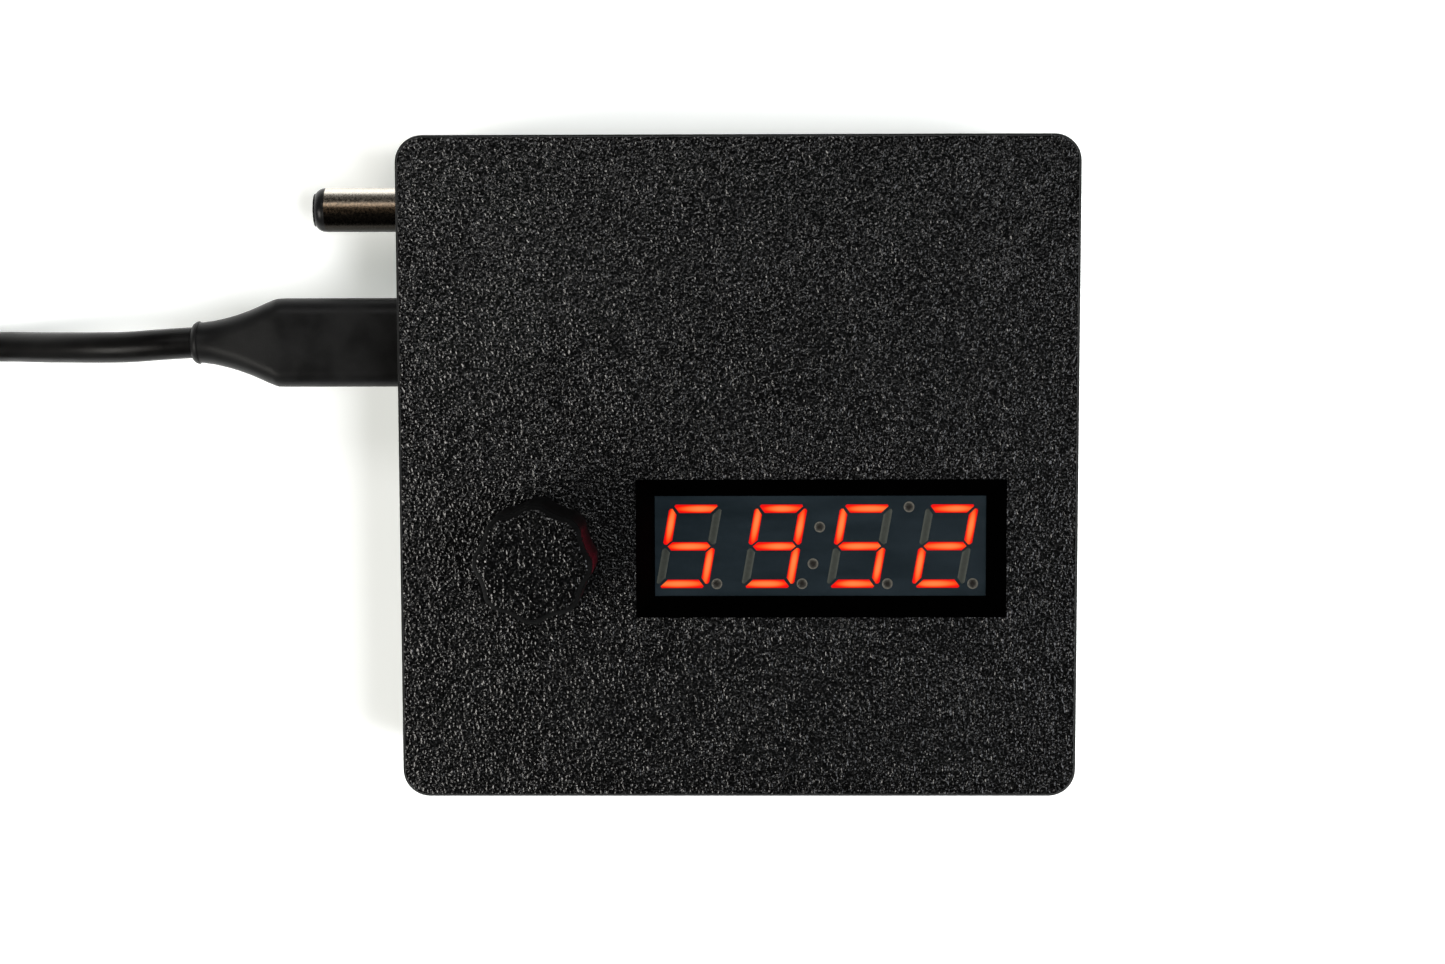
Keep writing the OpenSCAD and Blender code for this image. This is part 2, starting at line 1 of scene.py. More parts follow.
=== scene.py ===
"""A black printed desk box with a red four-digit readout, a knob, a barrel plug and a USB-C lead.

Lengths are in metres.  Positions come from the CAD frame; MM turns the drawing's millimetres
into metres.  Every piece is drawn where it lies, so no object is moved or scaled.
"""
import math

import bmesh
import bpy
from mathutils import Matrix, Vector


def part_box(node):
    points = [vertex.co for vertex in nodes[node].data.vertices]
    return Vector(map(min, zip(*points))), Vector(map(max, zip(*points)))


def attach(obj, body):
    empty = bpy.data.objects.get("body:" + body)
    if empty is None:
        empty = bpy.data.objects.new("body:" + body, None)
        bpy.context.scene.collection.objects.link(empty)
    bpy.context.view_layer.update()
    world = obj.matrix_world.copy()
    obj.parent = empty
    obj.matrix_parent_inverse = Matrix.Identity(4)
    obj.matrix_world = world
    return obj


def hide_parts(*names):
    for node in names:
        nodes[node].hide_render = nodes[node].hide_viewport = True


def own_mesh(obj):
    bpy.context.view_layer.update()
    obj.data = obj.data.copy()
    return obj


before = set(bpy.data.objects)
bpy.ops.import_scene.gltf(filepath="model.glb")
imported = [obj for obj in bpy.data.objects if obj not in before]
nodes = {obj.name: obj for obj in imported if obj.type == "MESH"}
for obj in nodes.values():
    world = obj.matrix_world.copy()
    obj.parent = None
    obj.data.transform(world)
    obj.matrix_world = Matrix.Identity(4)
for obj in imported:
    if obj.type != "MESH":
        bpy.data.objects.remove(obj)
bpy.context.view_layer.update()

MM = 0.001
case_lo, case_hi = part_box("top_case")
CASE = Vector(((case_lo.x + case_hi.x) / 2, (case_lo.y + case_hi.y) / 2, 0))
TOP = case_hi.z


def at(x, y, z):
    """A point given in millimetres from the middle of the case, at a height above the floor."""
    return CASE + Vector((x, y, z)) * MM


# ---- camera -------------------------------------------------------------------------------

CAMERA_PLACE = (1.25, 24.1, 308.8)
CAMERA_TILT = (-5.2, 0.62, -0.14)       # degrees away from looking straight down
SENSOR_WIDTH = 36
FOCAL_LENGTH = 59.8


def make_camera():
    """Stands above the rear half of the case and looks down, turned a little to its front."""
    data = bpy.data.cameras.new("camera")
    data.sensor_width = SENSOR_WIDTH
    data.lens = FOCAL_LENGTH
    camera = bpy.data.objects.new("camera", data)
    camera.location = at(*CAMERA_PLACE)
    camera.rotation_euler = [math.radians(angle) for angle in CAMERA_TILT]
    bpy.context.scene.collection.objects.link(camera)
    bpy.context.scene.camera = camera


make_camera()


# ---- meshes -------------------------------------------------------------------------------

def add_object(name, data, body=None):
    """Puts a mesh or curve in the scene, riding on a body unless it is part of the stage."""
    piece = bpy.data.objects.new(name, data)
    bpy.context.scene.collection.objects.link(piece)
    if body:
        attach(piece, body)
    return piece


def mesh_of(name, points, faces):
    mesh = bpy.data.meshes.new(name)
    mesh.from_pydata([tuple(p) for p in points], [], faces)
    return mesh


def circle(steps):
    """Evenly spaced angles once round."""
    return [2 * math.pi * k / steps for k in range(steps)]


def loft(name, rings, close_ends=True):
    """A skin over rings that have the same number of points, with flat ends if it is closed.
    All its faces look outwards."""
    n = len(rings[0])
    faces = [
        (i * n + k, i * n + (k + 1) % n, (i + 1) * n + (k + 1) % n, (i + 1) * n + k)
        for i in range(len(rings) - 1)
        for k in range(n)
    ]
    if close_ends:
        faces.append(tuple(reversed(range(n))))
        faces.append(tuple(range((len(rings) - 1) * n, len(rings) * n)))
    mesh = mesh_of(name, [p for ring in rings for p in ring], faces)
    work = bmesh.new()
    work.from_mesh(mesh)
    bmesh.ops.recalc_face_normals(work, faces=work.faces)
    work.to_mesh(mesh)
    work.free()
    return mesh


def keep_creases(piece, degrees):
    """Smooth shading that stops at real edges."""
    for polygon in piece.data.polygons:
        polygon.use_smooth = True
    piece.data.set_sharp_from_angle(angle=math.radians(degrees))


# ---- the USB lead -------------------------------------------------------------------------

# Millimetres from the middle of the case.  The turns of the coil come between the two routes.
CABLE_D = 3.8
LEAD_ROUTE = [
    (-66.9, 14.6, 14.5), (-71, 14.35, 14.4), (-75, 14.05, 13.8), (-79, 13.95, 12.6),
    (-83, 13.9, 10.8), (-87, 13.85, 8.6), (-91, 13.85, 6.4), (-95, 13.8, 4.5),
    (-99, 13.8, 3.1), (-103, 13.8, 2.3), (-107, 13.8, 2), (-111, 13.8, 1.93),
    (-115, 13.8, 1.91), (-119, 13.8, 1.9), (-123, 13.8, 1.9), (-127, 13.8, 1.9),
]
TAIL_ROUTE = [
    (-142.3, 8.8, 5.7), (-146.1, 6.6, 5.7), (-150.2, 3.8, 4.9), (-153.6, 0, 3.6),
    (-155.9, -4.4, 2.4), (-156.9, -9, 1.95), (-157.1, -13, 2.15), (-157.1, -17, 2.8),
    (-157.1, -21, 3.25),
]
COIL_MIDDLE = (-127, -12.2)
COIL_OUTER = 26
COIL_PITCH = 3.9
COIL_TURNS = 7.1
COIL_LAYERS = (1.9, 5.7)        # heights of the cable's middle
COIL_CLIMB = (3.25, 3.85)       # the turns between which it changes layer
POINTS_PER_TURN = 24
CURVE_STEPS = 4


def coil_route():
    """In from the outside on the surface, up one layer, and out again on top."""
    count = round(COIL_TURNS * POINTS_PER_TURN)
    low, high = COIL_LAYERS
    start, end = COIL_CLIMB
    for k in range(1, count):
        turn = COIL_TURNS * k / count
        radius = COIL_OUTER - COIL_PITCH * min(turn, COIL_TURNS - turn)
        rise = min(max((turn - start) / (end - start), 0), 1)
        angle = math.radians(90 + 360 * turn)
        yield (
            COIL_MIDDLE[0] + radius * math.cos(angle),
            COIL_MIDDLE[1] + radius * math.sin(angle),
            low + (high - low) * rise * rise * (3 - 2 * rise),
        )


def smooth_line(points, steps):
    """A curve through every point (Catmull-Rom), with steps points to each stretch."""
    line = []
    for i in range(len(points) - 1):
        a, b, c, d = (points[min(max(j, 0), len(points) - 1)] for j in (i - 1, i, i + 1, i + 2))
        for k in range(steps):
            t = k / steps
            line.append(
                b + (c - a) * (t / 2)
                + (a * 2 - b * 5 + c * 4 - d) * (t * t / 2)
                + (b * 3 - a - c * 3 + d) * (t * t * t / 2)
            )
    return line + [points[-1]]


def make_cable():
    line = smooth_line([at(*p) for p in [*LEAD_ROUTE, *coil_route(), *TAIL_ROUTE]], CURVE_STEPS)
    data = bpy.data.curves.new("usb_cable_run", "CURVE")
    data.dimensions = "3D"
    data.bevel_depth = 1  # each point's own radius sets the thickness, so the bounds fit too
    data.bevel_resolution = 5
    data.use_fill_caps = True
    spline = data.splines.new("POLY")
    spline.points.add(len(line) - 1)
    for point, place in zip(spline.points, line):
        point.co = (*place, 1)
        point.radius = CABLE_D / 2 * MM
    spline.use_smooth = True
    cable = add_object("usb_cable_run", data, "usb_lead")
    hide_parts("usb_cable", "cable_coil", "cable_tail")
    return cable, line


# The grip's sections from its front face back: distance, width, thickness.
GRIP_SECTIONS = [
    (0, 10.2, 5.9), (0.12, 10.5, 6.2), (0.35, 10.74, 6.44), (0.8, 10.8, 6.5), (6, 10.8, 6.5),
    (12, 10.8, 6.5), (16.2, 10.8, 6.5), (17, 10.74, 6.48), (17.6, 10.45, 6.42), (18.4, 9.8, 6.3),
    (19.4, 8.9, 6.15), (20.6, 7.9, 5.95), (22, 6.9, 5.65), (23.4, 6.1, 5.4), (25, 5.4, 5.1),
    (26.4, 5, 4.95), (26.8, 4.98, 4.94), (26.88, 5.24, 5.18), (27.1, 5.2, 5.16), (27.3, 4.98, 4.94),
    (27.55, 4.6, 4.6), (27.7, 4.0, 4.0),
]


def rounded_outline(width, depth, corner, count=64):
    """Points round a rectangle with round corners, evenly turned."""
    corner = min(corner, width / 2, depth / 2)
    points = []
    for k in range(count):
        quarter, step = divmod(k, count // 4)
        angle = math.radians(90 * (quarter + step / (count // 4 - 1)))
        sign_x = 1 if quarter in (0, 3) else -1
        sign_y = 1 if quarter in (0, 1) else -1
        points.append((
            sign_x * (width / 2 - corner) + corner * math.cos(angle),
            sign_y * (depth / 2 - corner) + corner * math.sin(angle),
        ))
    return points


def grip_corner(back, width, depth):
    """The corner radius: flat in front, rounder where the grip narrows, a tube at its end."""
    if back > 24:
        return min(width, depth) / 2
    return 2.45 if back > 17 else 2.1


def make_grip(name, node, place):
    """The moulded grip of a plug.  place turns its own axes (front face at 0, back along -Z)
    into the frame's."""
    rings = []
    for back, width, depth in GRIP_SECTIONS:
        outline = rounded_outline(width, depth, grip_corner(back, width, depth))
        rings.append([place @ (Vector((x, y, -back)) * MM) for x, y in outline])
    grip = add_object(name, loft(name, rings), "usb_lead")
    keep_creases(grip, 50)
    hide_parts(node)
    return grip


def axes(origin, x_axis, y_axis, z_axis):
    """A matrix that takes a piece drawn about its own axes to its place."""
    turn = Matrix((x_axis, y_axis, z_axis)).transposed().to_4x4()
    return Matrix.Translation(origin) @ turn


def make_tie():
    """A hook-and-loop strap round the coil's bundle."""
    lo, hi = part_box("cable_tie")
    middle, half = (lo + hi) / 2, (hi - lo) / 2
    thick, steps = 0.6 * MM, 12

    def ring(k, inset, hem, corner):
        """A loop round the bundle.  The hem rounds off the strap's two edges."""
        x = lo.x + (hi.x - lo.x) * k / steps
        inset += hem if k in (0, steps) else 0
        outline = rounded_outline(2 * (half.y - inset) / MM, 2 * (half.z - inset) / MM, corner, 48)
        return [Vector((x, middle.y + u * MM, middle.z + v * MM)) for u, v in outline]

    rings = [ring(k, 0, 0.12 * MM, 1.6) for k in range(steps + 1)]
    rings += [ring(k, thick, -0.1 * MM, 1.1) for k in reversed(range(steps + 1))]
    rings.append(rings[0])
    tie = add_object("cable_strap", loft("cable_strap", rings, close_ends=False), "usb_lead")
    keep_creases(tie, 40)
    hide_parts("cable_tie")
    return tie


cable, cable_line = make_cable()

grip_lo, grip_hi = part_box("usb_plug_grip")
near_front = Vector((grip_hi.x, (grip_lo.y + grip_hi.y) / 2, (grip_lo.z + grip_hi.z) / 2))
near_axes = axes(near_front, (0, 1, 0), (0, 0, 1), (1, 0, 0))
near_grip = make_grip("near_grip", "usb_plug_grip", near_axes)

grip_lo, grip_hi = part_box("far_plug_grip")
far_front = Vector(((grip_lo.x + grip_hi.x) / 2, grip_lo.y, (grip_lo.z + grip_hi.z) / 2))
far_axes = axes(far_front, (1, 0, 0), (0, 0, 1), (0, -1, 0))
far_grip = make_grip("far_grip", "far_plug_grip", far_axes)

tie = make_tie()


# ---- the knob -----------------------------------------------------------------------------

KNOB_LOBES = 8
KNOB_TURN = math.radians(-2)
KNOB_POINTS = 192
HOLLOW_R = 7 * MM
HOLLOW_DEPTH = 0.5 * MM


def soft_min(a, b, blend):
    """The smaller of two values, with the corner between them rounded."""
    h = min(max(0.5 + 0.5 * (b - a) / blend, 0), 1)
    return b + (a - b) * h - blend * h * (1 - h)


def knob_radius(angle, full):
    """The lobed outline: a circle with a shallow hollow between each two lobes."""
    step = 2 * math.pi / KNOB_LOBES
    off = (angle - KNOB_TURN) % step - step / 2
    middle = full - HOLLOW_DEPTH + HOLLOW_R
    across = middle * math.sin(off)
    hollow = HOLLOW_R**2 - across**2
    valley = middle * math.cos(off) - math.sqrt(hollow) if hollow > 0 else 2 * full
    return soft_min(full, valley, 0.16 * MM)


def make_knob():
    """The printed knob, with the recess under it that the bushing stands in."""
    lo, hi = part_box("knob")
    middle = (lo + hi) / 2
    full = (hi.x - lo.x) / 2
    recess_r, shaft_r, recess = 4.3 * MM, 3.0 * MM, 1.8 * MM

    def ring(z, inset=0.0, radius=None):
        """A round ring of the given radius, or else the lobed outline drawn in by inset."""
        points = []
        for angle in circle(KNOB_POINTS):
            r = radius if radius is not None else knob_radius(angle, full) - inset
            x, y = r * math.cos(angle), r * math.sin(angle)
            points.append(Vector((middle.x + x, middle.y + y, z)))
        return points

    rings = [ring(lo.z + recess + 0.3 * MM, radius=shaft_r), ring(lo.z + recess, radius=shaft_r)]
    rings += [ring(lo.z + recess, radius=recess_r), ring(lo.z + 0.15 * MM, radius=recess_r)]
    rings += [ring(lo.z, radius=recess_r + 0.15 * MM), ring(lo.z, inset=0.25 * MM)]
    rings += [ring(lo.z + 0.08 * MM, inset=0.07 * MM), ring(lo.z + 0.25 * MM)]
    rings += [ring(lo.z + (hi.z - lo.z) * f) for f in (0.3, 0.6, 0.9)]
    bevel = 0.5 * MM
    rings += [ring(hi.z - bevel - 0.05 * MM), ring(hi.z - bevel + 0.06 * MM, inset=0.05 * MM)]
    rings += [ring(hi.z - 0.05 * MM, inset=bevel - 0.04 * MM), ring(hi.z, inset=bevel + 0.06 * MM)]
    rings += [ring(hi.z, inset=1.2 * MM), ring(hi.z, radius=3 * MM), ring(hi.z, radius=0.5 * MM)]
    knob = add_object("lobed_knob", loft("lobed_knob", rings), "knob")
    keep_creases(knob, 30)
    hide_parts("knob")
    return knob, hi.z - 0.02 * MM


def make_snap_disc():
    """The push switch's thin domed disc, which flattens as the shaft presses it."""
    lo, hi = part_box("snap_dome")
    middle = (lo + hi) / 2
    full, sheet = (hi.x - lo.x) / 2, 0.12 * MM
    rise = hi.z - lo.z - sheet

    def ring(share, lift):
        z = lo.z + lift + rise * (1 - share * share)
        r = full * share
        return [
            Vector((middle.x + r * math.cos(a), middle.y + r * math.sin(a), z)) for a in circle(48)
        ]

    shares = (0.05, 0.3, 0.5, 0.7, 0.85, 0.95, 1)
    rings = [ring(share, 0) for share in shares] + [ring(share, sheet) for share in shares[::-1]]
    disc = add_object("snap_disc", loft("snap_disc", rings), "case")
    keep_creases(disc, 40)
    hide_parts("snap_dome")
    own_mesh(disc)
    return disc


knob, knob_top = make_knob()
snap_disc = make_snap_disc()


# ---- the readout --------------------------------------------------------------------------

# A digit's strokes as upright outlines, in millimetres from the digit's middle.  The other
# strokes are mirrored from them.
SEG_U, SEG_V, STROKE = 3.14, 5.0, 1.0
SLANT = math.tan(math.radians(10))
PITCH = 10.16
DIGITS_SHIFT = -0.2
LIT = ("acdfg", "abcdfg", "acdfg", "abdeg")
ACROSS = [(-2.43, SEG_V), (2.43, SEG_V), (2.58, SEG_V - 0.2), (1.85, SEG_V - STROKE),
          (-1.85, SEG_V - STROKE), (-2.58, SEG_V - 0.2)]
UPRIGHT = [(-SEG_U, SEG_V - 0.72), (-SEG_U + 0.15, SEG_V - 0.52), (-SEG_U + 0.4, SEG_V - 0.5),
           (-SEG_U + STROKE, SEG_V - 1.22), (-SEG_U + STROKE, 0.72), (-SEG_U + 0.45, 0.2),
           (-SEG_U + 0.2, 0.22), (-SEG_U, 0.42)]
MIDDLE = [(-2.55, 0), (-2.05, STROKE / 2), (2.05, STROKE / 2), (2.55, 0),
          (2.05, -STROKE / 2), (-2.05, -STROKE / 2)]
SEGMENTS = {
    "a": (ACROSS, 1, 1), "d": (ACROSS, 1, -1), "g": (MIDDLE, 1, 1), "f": (UPRIGHT, 1, 1),
    "b": (UPRIGHT, -1, 1), "c": (UPRIGHT, -1, -1), "e": (UPRIGHT, 1, -1),
}
# The dots' digits and places: a point beside each digit, the colon and a point high up.
DOTS = [(i, 3.3, -4.5) for i in range(4)] + [(1, 5.4, 2.3), (1, 4.6, -2.1), (2, 5.85, 4.7)]
DOT_R = 0.65

face_lo, face_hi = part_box("display_face")
face_middle = (face_lo + face_hi) / 2


def on_face(digit, u, v, z):
    """A point on the readout, u and v millimetres from a digit's middle."""
    x = DIGITS_SHIFT + (digit - 1.5) * PITCH + u
    return Vector((face_middle.x + x * MM, face_middle.y + v * MM, z))


def toward(points, share):
    """The outline drawn in towards its middle line by a share of its half width."""
    us, vs = [p[0] for p in points], [p[1] for p in points]
    mid_u, mid_v = (min(us) + max(us)) / 2, (min(vs) + max(vs)) / 2
    half = min(max(us) - min(us), max(vs) - min(vs)) / 2
    inset = share * half
    long_u, long_v = (max(us) - min(us)) / 2, (max(vs) - min(vs)) / 2
    return [
        (mid_u + (u - mid_u) * (1 - inset / long_u), mid_v + (v - mid_v) * (1 - inset / long_v))
        for u, v in points
    ]


def readout_piece(name, layer, stacks, node):
    """One piece from closed stacks of rings, bottom first.  Each ring is a list of points, each
    with its place on the map called layer."""
    work = bmesh.new()
    uv = work.loops.layers.uv.new(layer)
    for stack in stacks:
        rings = [[(work.verts.new(point), place) for point, place in ring] for ring in stack]
        n = len(rings[0])
        quads = [
            [rings[i][k], rings[i][(k + 1) % n], rings[i + 1][(k + 1) % n], rings[i + 1][k]]
            for i in range(len(rings) - 1) for k in range(n)
        ]
        for corners in quads + [rings[-1], rings[0][::-1]]:
            face = work.faces.new([vertex for vertex, _ in corners])
            for loop, (_, place) in zip(face.loops, corners):
                loop[uv].uv = place
    bmesh.ops.recalc_face_normals(work, faces=work.faces)
    mesh = bpy.data.meshes.new(name)
    work.to_mesh(mesh)
    work.free()
    piece = add_object(name, mesh, "case")
    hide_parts(node)
    return piece


def stroke_stack(digit, outline):
    """One stroke with a softly bevelled top.  Its map runs from -1 to 1 along it and across it,
    for the glow to follow."""
    us, vs = [u for u, _ in outline], [v for _, v in outline]
    mid_u, mid_v = (min(us) + max(us)) / 2, (min(vs) + max(vs)) / 2
    half_u, half_v = (max(us) - min(us)) / 2, (max(vs) - min(vs)) / 2
    top, low = face_hi.z, face_lo.z
    levels = [(0.0, low), (0.0, top - 0.04 * MM), (0.1, top), (0.45, top), (0.8, top)]
    stack = []
    for share, z in levels:
        ring = []
        for u, v in toward(outline, share):
            place = (u - mid_u) / half_u, (v - mid_v) / half_v
            along_first = place if half_u > half_v else place[::-1]
            ring.append((on_face(digit, u + v * SLANT, v, z), along_first))
        stack.append(ring)
    return stack


def make_segments(name, lit, node):
    """The strokes that are lit, or those that aren't."""
    stacks = [
        stroke_stack(digit, [(u * flip_u, v * flip_v) for u, v in outline])
        for digit, on in enumerate(LIT)
        for letter, (outline, flip_u, flip_v) in SEGMENTS.items()
        if (letter in on) == lit
    ]
    return readout_piece(name, "stroke", stacks, node)


def dot_stack(digit, u, v):
    """One round dot, slightly dished.  Its map runs from -1 to 1 both ways."""
    profile = [(1, face_lo.z), (1, face_hi.z - 0.04 * MM), (0.93, face_hi.z),
               (0.7, face_hi.z - 0.02 * MM), (0.35, face_hi.z - 0.06 * MM)]
    stack = []
    for share, z in profile:
        ring = []
        for angle in circle(32):
            x, y = share * math.cos(angle), share * math.sin(angle)
            ring.append((on_face(digit, u + DOT_R * x, v + DOT_R * y, z), (x, y)))
        stack.append(ring)
    return stack


def make_dots():
    """Round points of clear resin."""
    stacks = [dot_stack(*dot) for dot in DOTS]
    piece = readout_piece("readout_dots", "dot", stacks, "display_dots")
    keep_creases(piece, 40)
    return piece


lit_strokes = make_segments("lit_strokes", True, "lit_segments")
dark_strokes = make_segments("dark_strokes", False, "unlit_segments")
dots = make_dots()


# ---- materials ----------------------------------------------------------------------------

class Look:
    """A node material built step by step round one Principled shader."""

    def __init__(self, name, **values):
        self.material = bpy.data.materials.new(name)
        self.material.use_nodes = True
        self.tree = self.material.node_tree
        self.shader = self.tree.nodes["Principled BSDF"]
        for socket, value in values.items():
            self.shader.inputs[socket.replace("_", " ")].default_value = value

    def node(self, kind, inputs=(), **settings):
        """A new node.  Each input is a number or colour, or another node's output."""
        made = self.tree.nodes.new(kind)
        for key, value in settings.items():
            setattr(made, key, value)
        for key, value in dict(inputs).items():
            if isinstance(value, bpy.types.NodeSocket):
                self.tree.links.new(value, made.inputs[key])
            else:
                made.inputs[key].default_value = value
        return made

    def place(self, stretch=(1, 1, 1)):
        """The piece's own coordinates, in metres."""
        source = self.node("ShaderNodeTexCoord").outputs["Object"]
        return self.node("ShaderNodeMapping", {"Vector": source, "Scale": stretch}).outputs[0]

    def noise(self, size, detail=2, roughness=0.5, stretch=(1, 1, 1), warp=0.0):
        inputs = {"Vector": self.place(stretch), "Scale": 1 / size, "Detail": detail,
                  "Roughness": roughness, "Distortion": warp}
        return self.node("ShaderNodeTexNoise", inputs).outputs["Fac"]

    def cell_edges(self, size):
        """Distance from the borders of a pattern of irregular cells."""
        inputs = {"Vector": self.place(), "Scale": 1 / size}
        made = self.node("ShaderNodeTexVoronoi", inputs, feature="DISTANCE_TO_EDGE")
        return made.outputs["Distance"]

    def math(self, operation, a, b=0.0):
        return self.node("ShaderNodeMath", {0: a, 1: b}, operation=operation).outputs[0]

    def spread(self, value, low, high, to_low=0.0, to_high=1.0):
        """The range from low to high, stretched to another range."""
        inputs = {"Value": value, "From Min": low, "From Max": high,
                  "To Min": to_low, "To Max": to_high}
        return self.node("ShaderNodeMapRange", inputs).outputs[0]

    def ramp(self, value, stops):
        """A colour that runs through the stops as the value rises."""
        made = self.node("ShaderNodeValToRGB", {"Fac": value})
        elements = made.color_ramp.elements
        while len(elements) < len(stops):
            elements.new(1.0)
        for element, (position, color) in zip(elements, stops):
            element.position = position
            element.color = (*color, 1)
        return made.outputs["Color"]

    def set(self, socket, value):
        self.tree.links.new(value, self.shader.inputs[socket])
        return self

    def bump(self, height, depth, strength=1.0):
        inputs = {"Height": height, "Distance": depth, "Strength": strength}
        made = self.node("ShaderNodeBump", inputs)
        return self.set("Normal", made.outputs["Normal"])


def grey(value, warm=0.0):
    return (value * (1 + warm), value, value * (1 - warm))


def pebbled(name, size, relief, tone=1.0):
    """The face printed against a textured plate: fine irregular pebbles that catch the light.
    Pale flecks in its colour are partly the print's uneven tone and partly painted glints.
    size is a pebble's width and relief its height as a share of that."""
    look = Look(name, Roughness=0.25, Specular_IOR_Level=0.5)
    fine = look.noise(size, detail=0.6, roughness=0.5, warp=0.4)
    streaks = look.noise(size * 1.6, detail=0.6, stretch=(1.2, 0.85, 1), warp=0.8)
    broad = look.noise(11 * MM, detail=3)
    height = look.math("ADD", fine, look.math("MULTIPLY", streaks, 0.7))
    # Pale flecks painted into the colour: partly the print's uneven tone, partly painted glints
    # beside the real ones that the bumps catch.
    flecks_and_painted_glints = look.noise(size * 0.62, detail=2, roughness=0.6, warp=0.3)
    shade = look.math("ADD", flecks_and_painted_glints, look.spread(broad, 0.3, 0.7, -0.02, 0.02))
    stops = [(0.4, grey(0.0003)), (0.5, grey(0.0007 * tone)), (0.57, grey(0.003 * tone)),
             (0.68, grey(0.022 * tone))]
    look.set("Base Color", look.ramp(shade, stops))
    look.set("Roughness", look.spread(fine, 0.35, 0.65, 0.2, 0.12))
    return look.bump(height, relief * size).material


def layered(name, tone=0.003, gap=0.2 * MM, gloss=0.14):
    """A printed wall: level layers a gap apart, slightly uneven."""
    look = Look(name, Roughness=0.5, Specular_IOR_Level=gloss)
    drift = look.noise(3 * MM, stretch=(0.3, 0.3, 2))
    scale = 2 * math.pi / gap / 20      # the texture turns through 20 radians a unit
    inputs = {"Vector": look.place(), "Scale": scale, "Distortion": 0.3, "Detail": 1.0}
    wave = look.node("ShaderNodeTexWave", inputs, bands_direction="Z").outputs["Fac"]
    fine = look.noise(0.08 * MM, detail=2)
    height = look.math("ADD", wave, look.math("MULTIPLY", fine, 0.25))
    stops = [(0.3, grey(tone * 0.7)), (0.7, grey(tone * 1.4))]
    look.set("Base Color", look.ramp(drift, stops))
    look.set("Roughness", look.spread(fine, 0.3, 0.7, 0.44, 0.58))
    return look.bump(height, 0.02 * MM, 0.7).material


def window_shade_look():
    """The window's sides: painted shade, deep black with next to no sheen, for the shadow deep in
    the window.
    """
    look = Look("window_wall_painted_shade", Roughness=1.0, Specular_IOR_Level=0.0)
    grain = look.noise(0.15 * MM, detail=2)
    # Painted shade: a near-black colour stands for the shadow inside the window.
    look.set("Base Color", look.ramp(grain, [(0.3, grey(0.0001)), (0.7, grey(0.0004))]))
    return look.bump(grain, 0.01 * MM).material


def film():
    """The readout's grey front: smooth, with faint streaks and dust."""
    look = Look("readout_film", Roughness=0.35, Specular_IOR_Level=0.3)
    streaks = look.noise(5 * MM, detail=3, stretch=(0.5, 2.2, 1))
    dust = look.noise(0.5 * MM, detail=3)
    tone = look.math("ADD", look.math("MULTIPLY", streaks, 0.8), look.math("MULTIPLY", dust, 0.2))
    stops = [(0.35, (0.0038, 0.0068, 0.0088)), (0.65, (0.0075, 0.0118, 0.015))]
    look.set("Base Color", look.ramp(tone, stops))
    return look.bump(dust, 0.004 * MM).material


def stroke_place(look, layer):
    """Places along and across the piece, each from -1 to 1 with 0 in the middle."""
    source = look.node("ShaderNodeUVMap", uv_map=layer).outputs[0]
    parts = look.node("ShaderNodeSeparateXYZ", {"Vector": source})
    return parts.outputs["X"], parts.outputs["Y"]


def glowing():
    """Lit resin: red at the edges, orange over the hidden diode."""
    look = Look("lit_resin", Base_Color=(0.02, 0.002, 0.001, 1), Roughness=0.4,
                Emission_Strength=1.0, Specular_IOR_Level=0.2)
    along, across = stroke_place(look, "stroke")
    uneven = look.noise(6 * MM, detail=1)
    shifted = look.math("ADD", along, look.spread(uneven, 0.3, 0.7, -0.45, 0.2))
    far = look.math("POWER", look.math("ABSOLUTE", shifted), 2.0)
    wide = look.math("POWER", look.math("ABSOLUTE", across), 2.2)
    heat = look.math("SUBTRACT", 1.0, look.math("ADD", look.math("MULTIPLY", far, 0.6), wide))
    stops = [(0.0, (0.85, 0.0, 0.001)), (0.25, (1.0, 0.004, 0.001)), (0.5, (1.0, 0.07, 0.006)),
             (0.75, (1.0, 0.16, 0.03)), (1.0, (1.0, 0.24, 0.062))]
    look.set("Emission Color", look.ramp(heat, stops))
    return look.bump(uneven, 0.004 * MM).material


def unlit():
    """Unlit resin: dull grey, paler along the edge."""
    look = Look("unlit_resin", Roughness=0.5, Specular_IOR_Level=0.3)
    _, across = stroke_place(look, "stroke")
    edge = look.math("POWER", look.math("ABSOLUTE", across), 2.5)
    mottle = look.noise(0.4 * MM, detail=3)
    tone = look.math("ADD", look.math("MULTIPLY", edge, 0.6), look.math("MULTIPLY", mottle, 0.4))
    stops = [(0.1, (0.017, 0.0185, 0.0155)), (0.6, (0.036, 0.039, 0.033))]
    look.set("Base Color", look.ramp(tone, stops))
    return look.bump(mottle, 0.006 * MM).material


def dot_resin():
    """Unlit dots: a paler rim round a dark dished middle."""
    look = Look("dot_resin", Roughness=0.4, Specular_IOR_Level=0.4)
    along, across = stroke_place(look, "dot")
    square = look.math("ADD", look.math("MULTIPLY", along, along),
                       look.math("MULTIPLY", across, across))
    mottle = look.noise(0.25 * MM, detail=2)
    tone = look.math("ADD", square, look.spread(mottle, 0.3, 0.7, -0.15, 0.15))
    stops = [(0.05, (0.006, 0.005, 0.004)), (0.4, (0.02, 0.019, 0.016)),
             (0.8, (0.075, 0.07, 0.058))]
    look.set("Base Color", look.ramp(tone, stops))
    return look.bump(mottle, 0.006 * MM).material


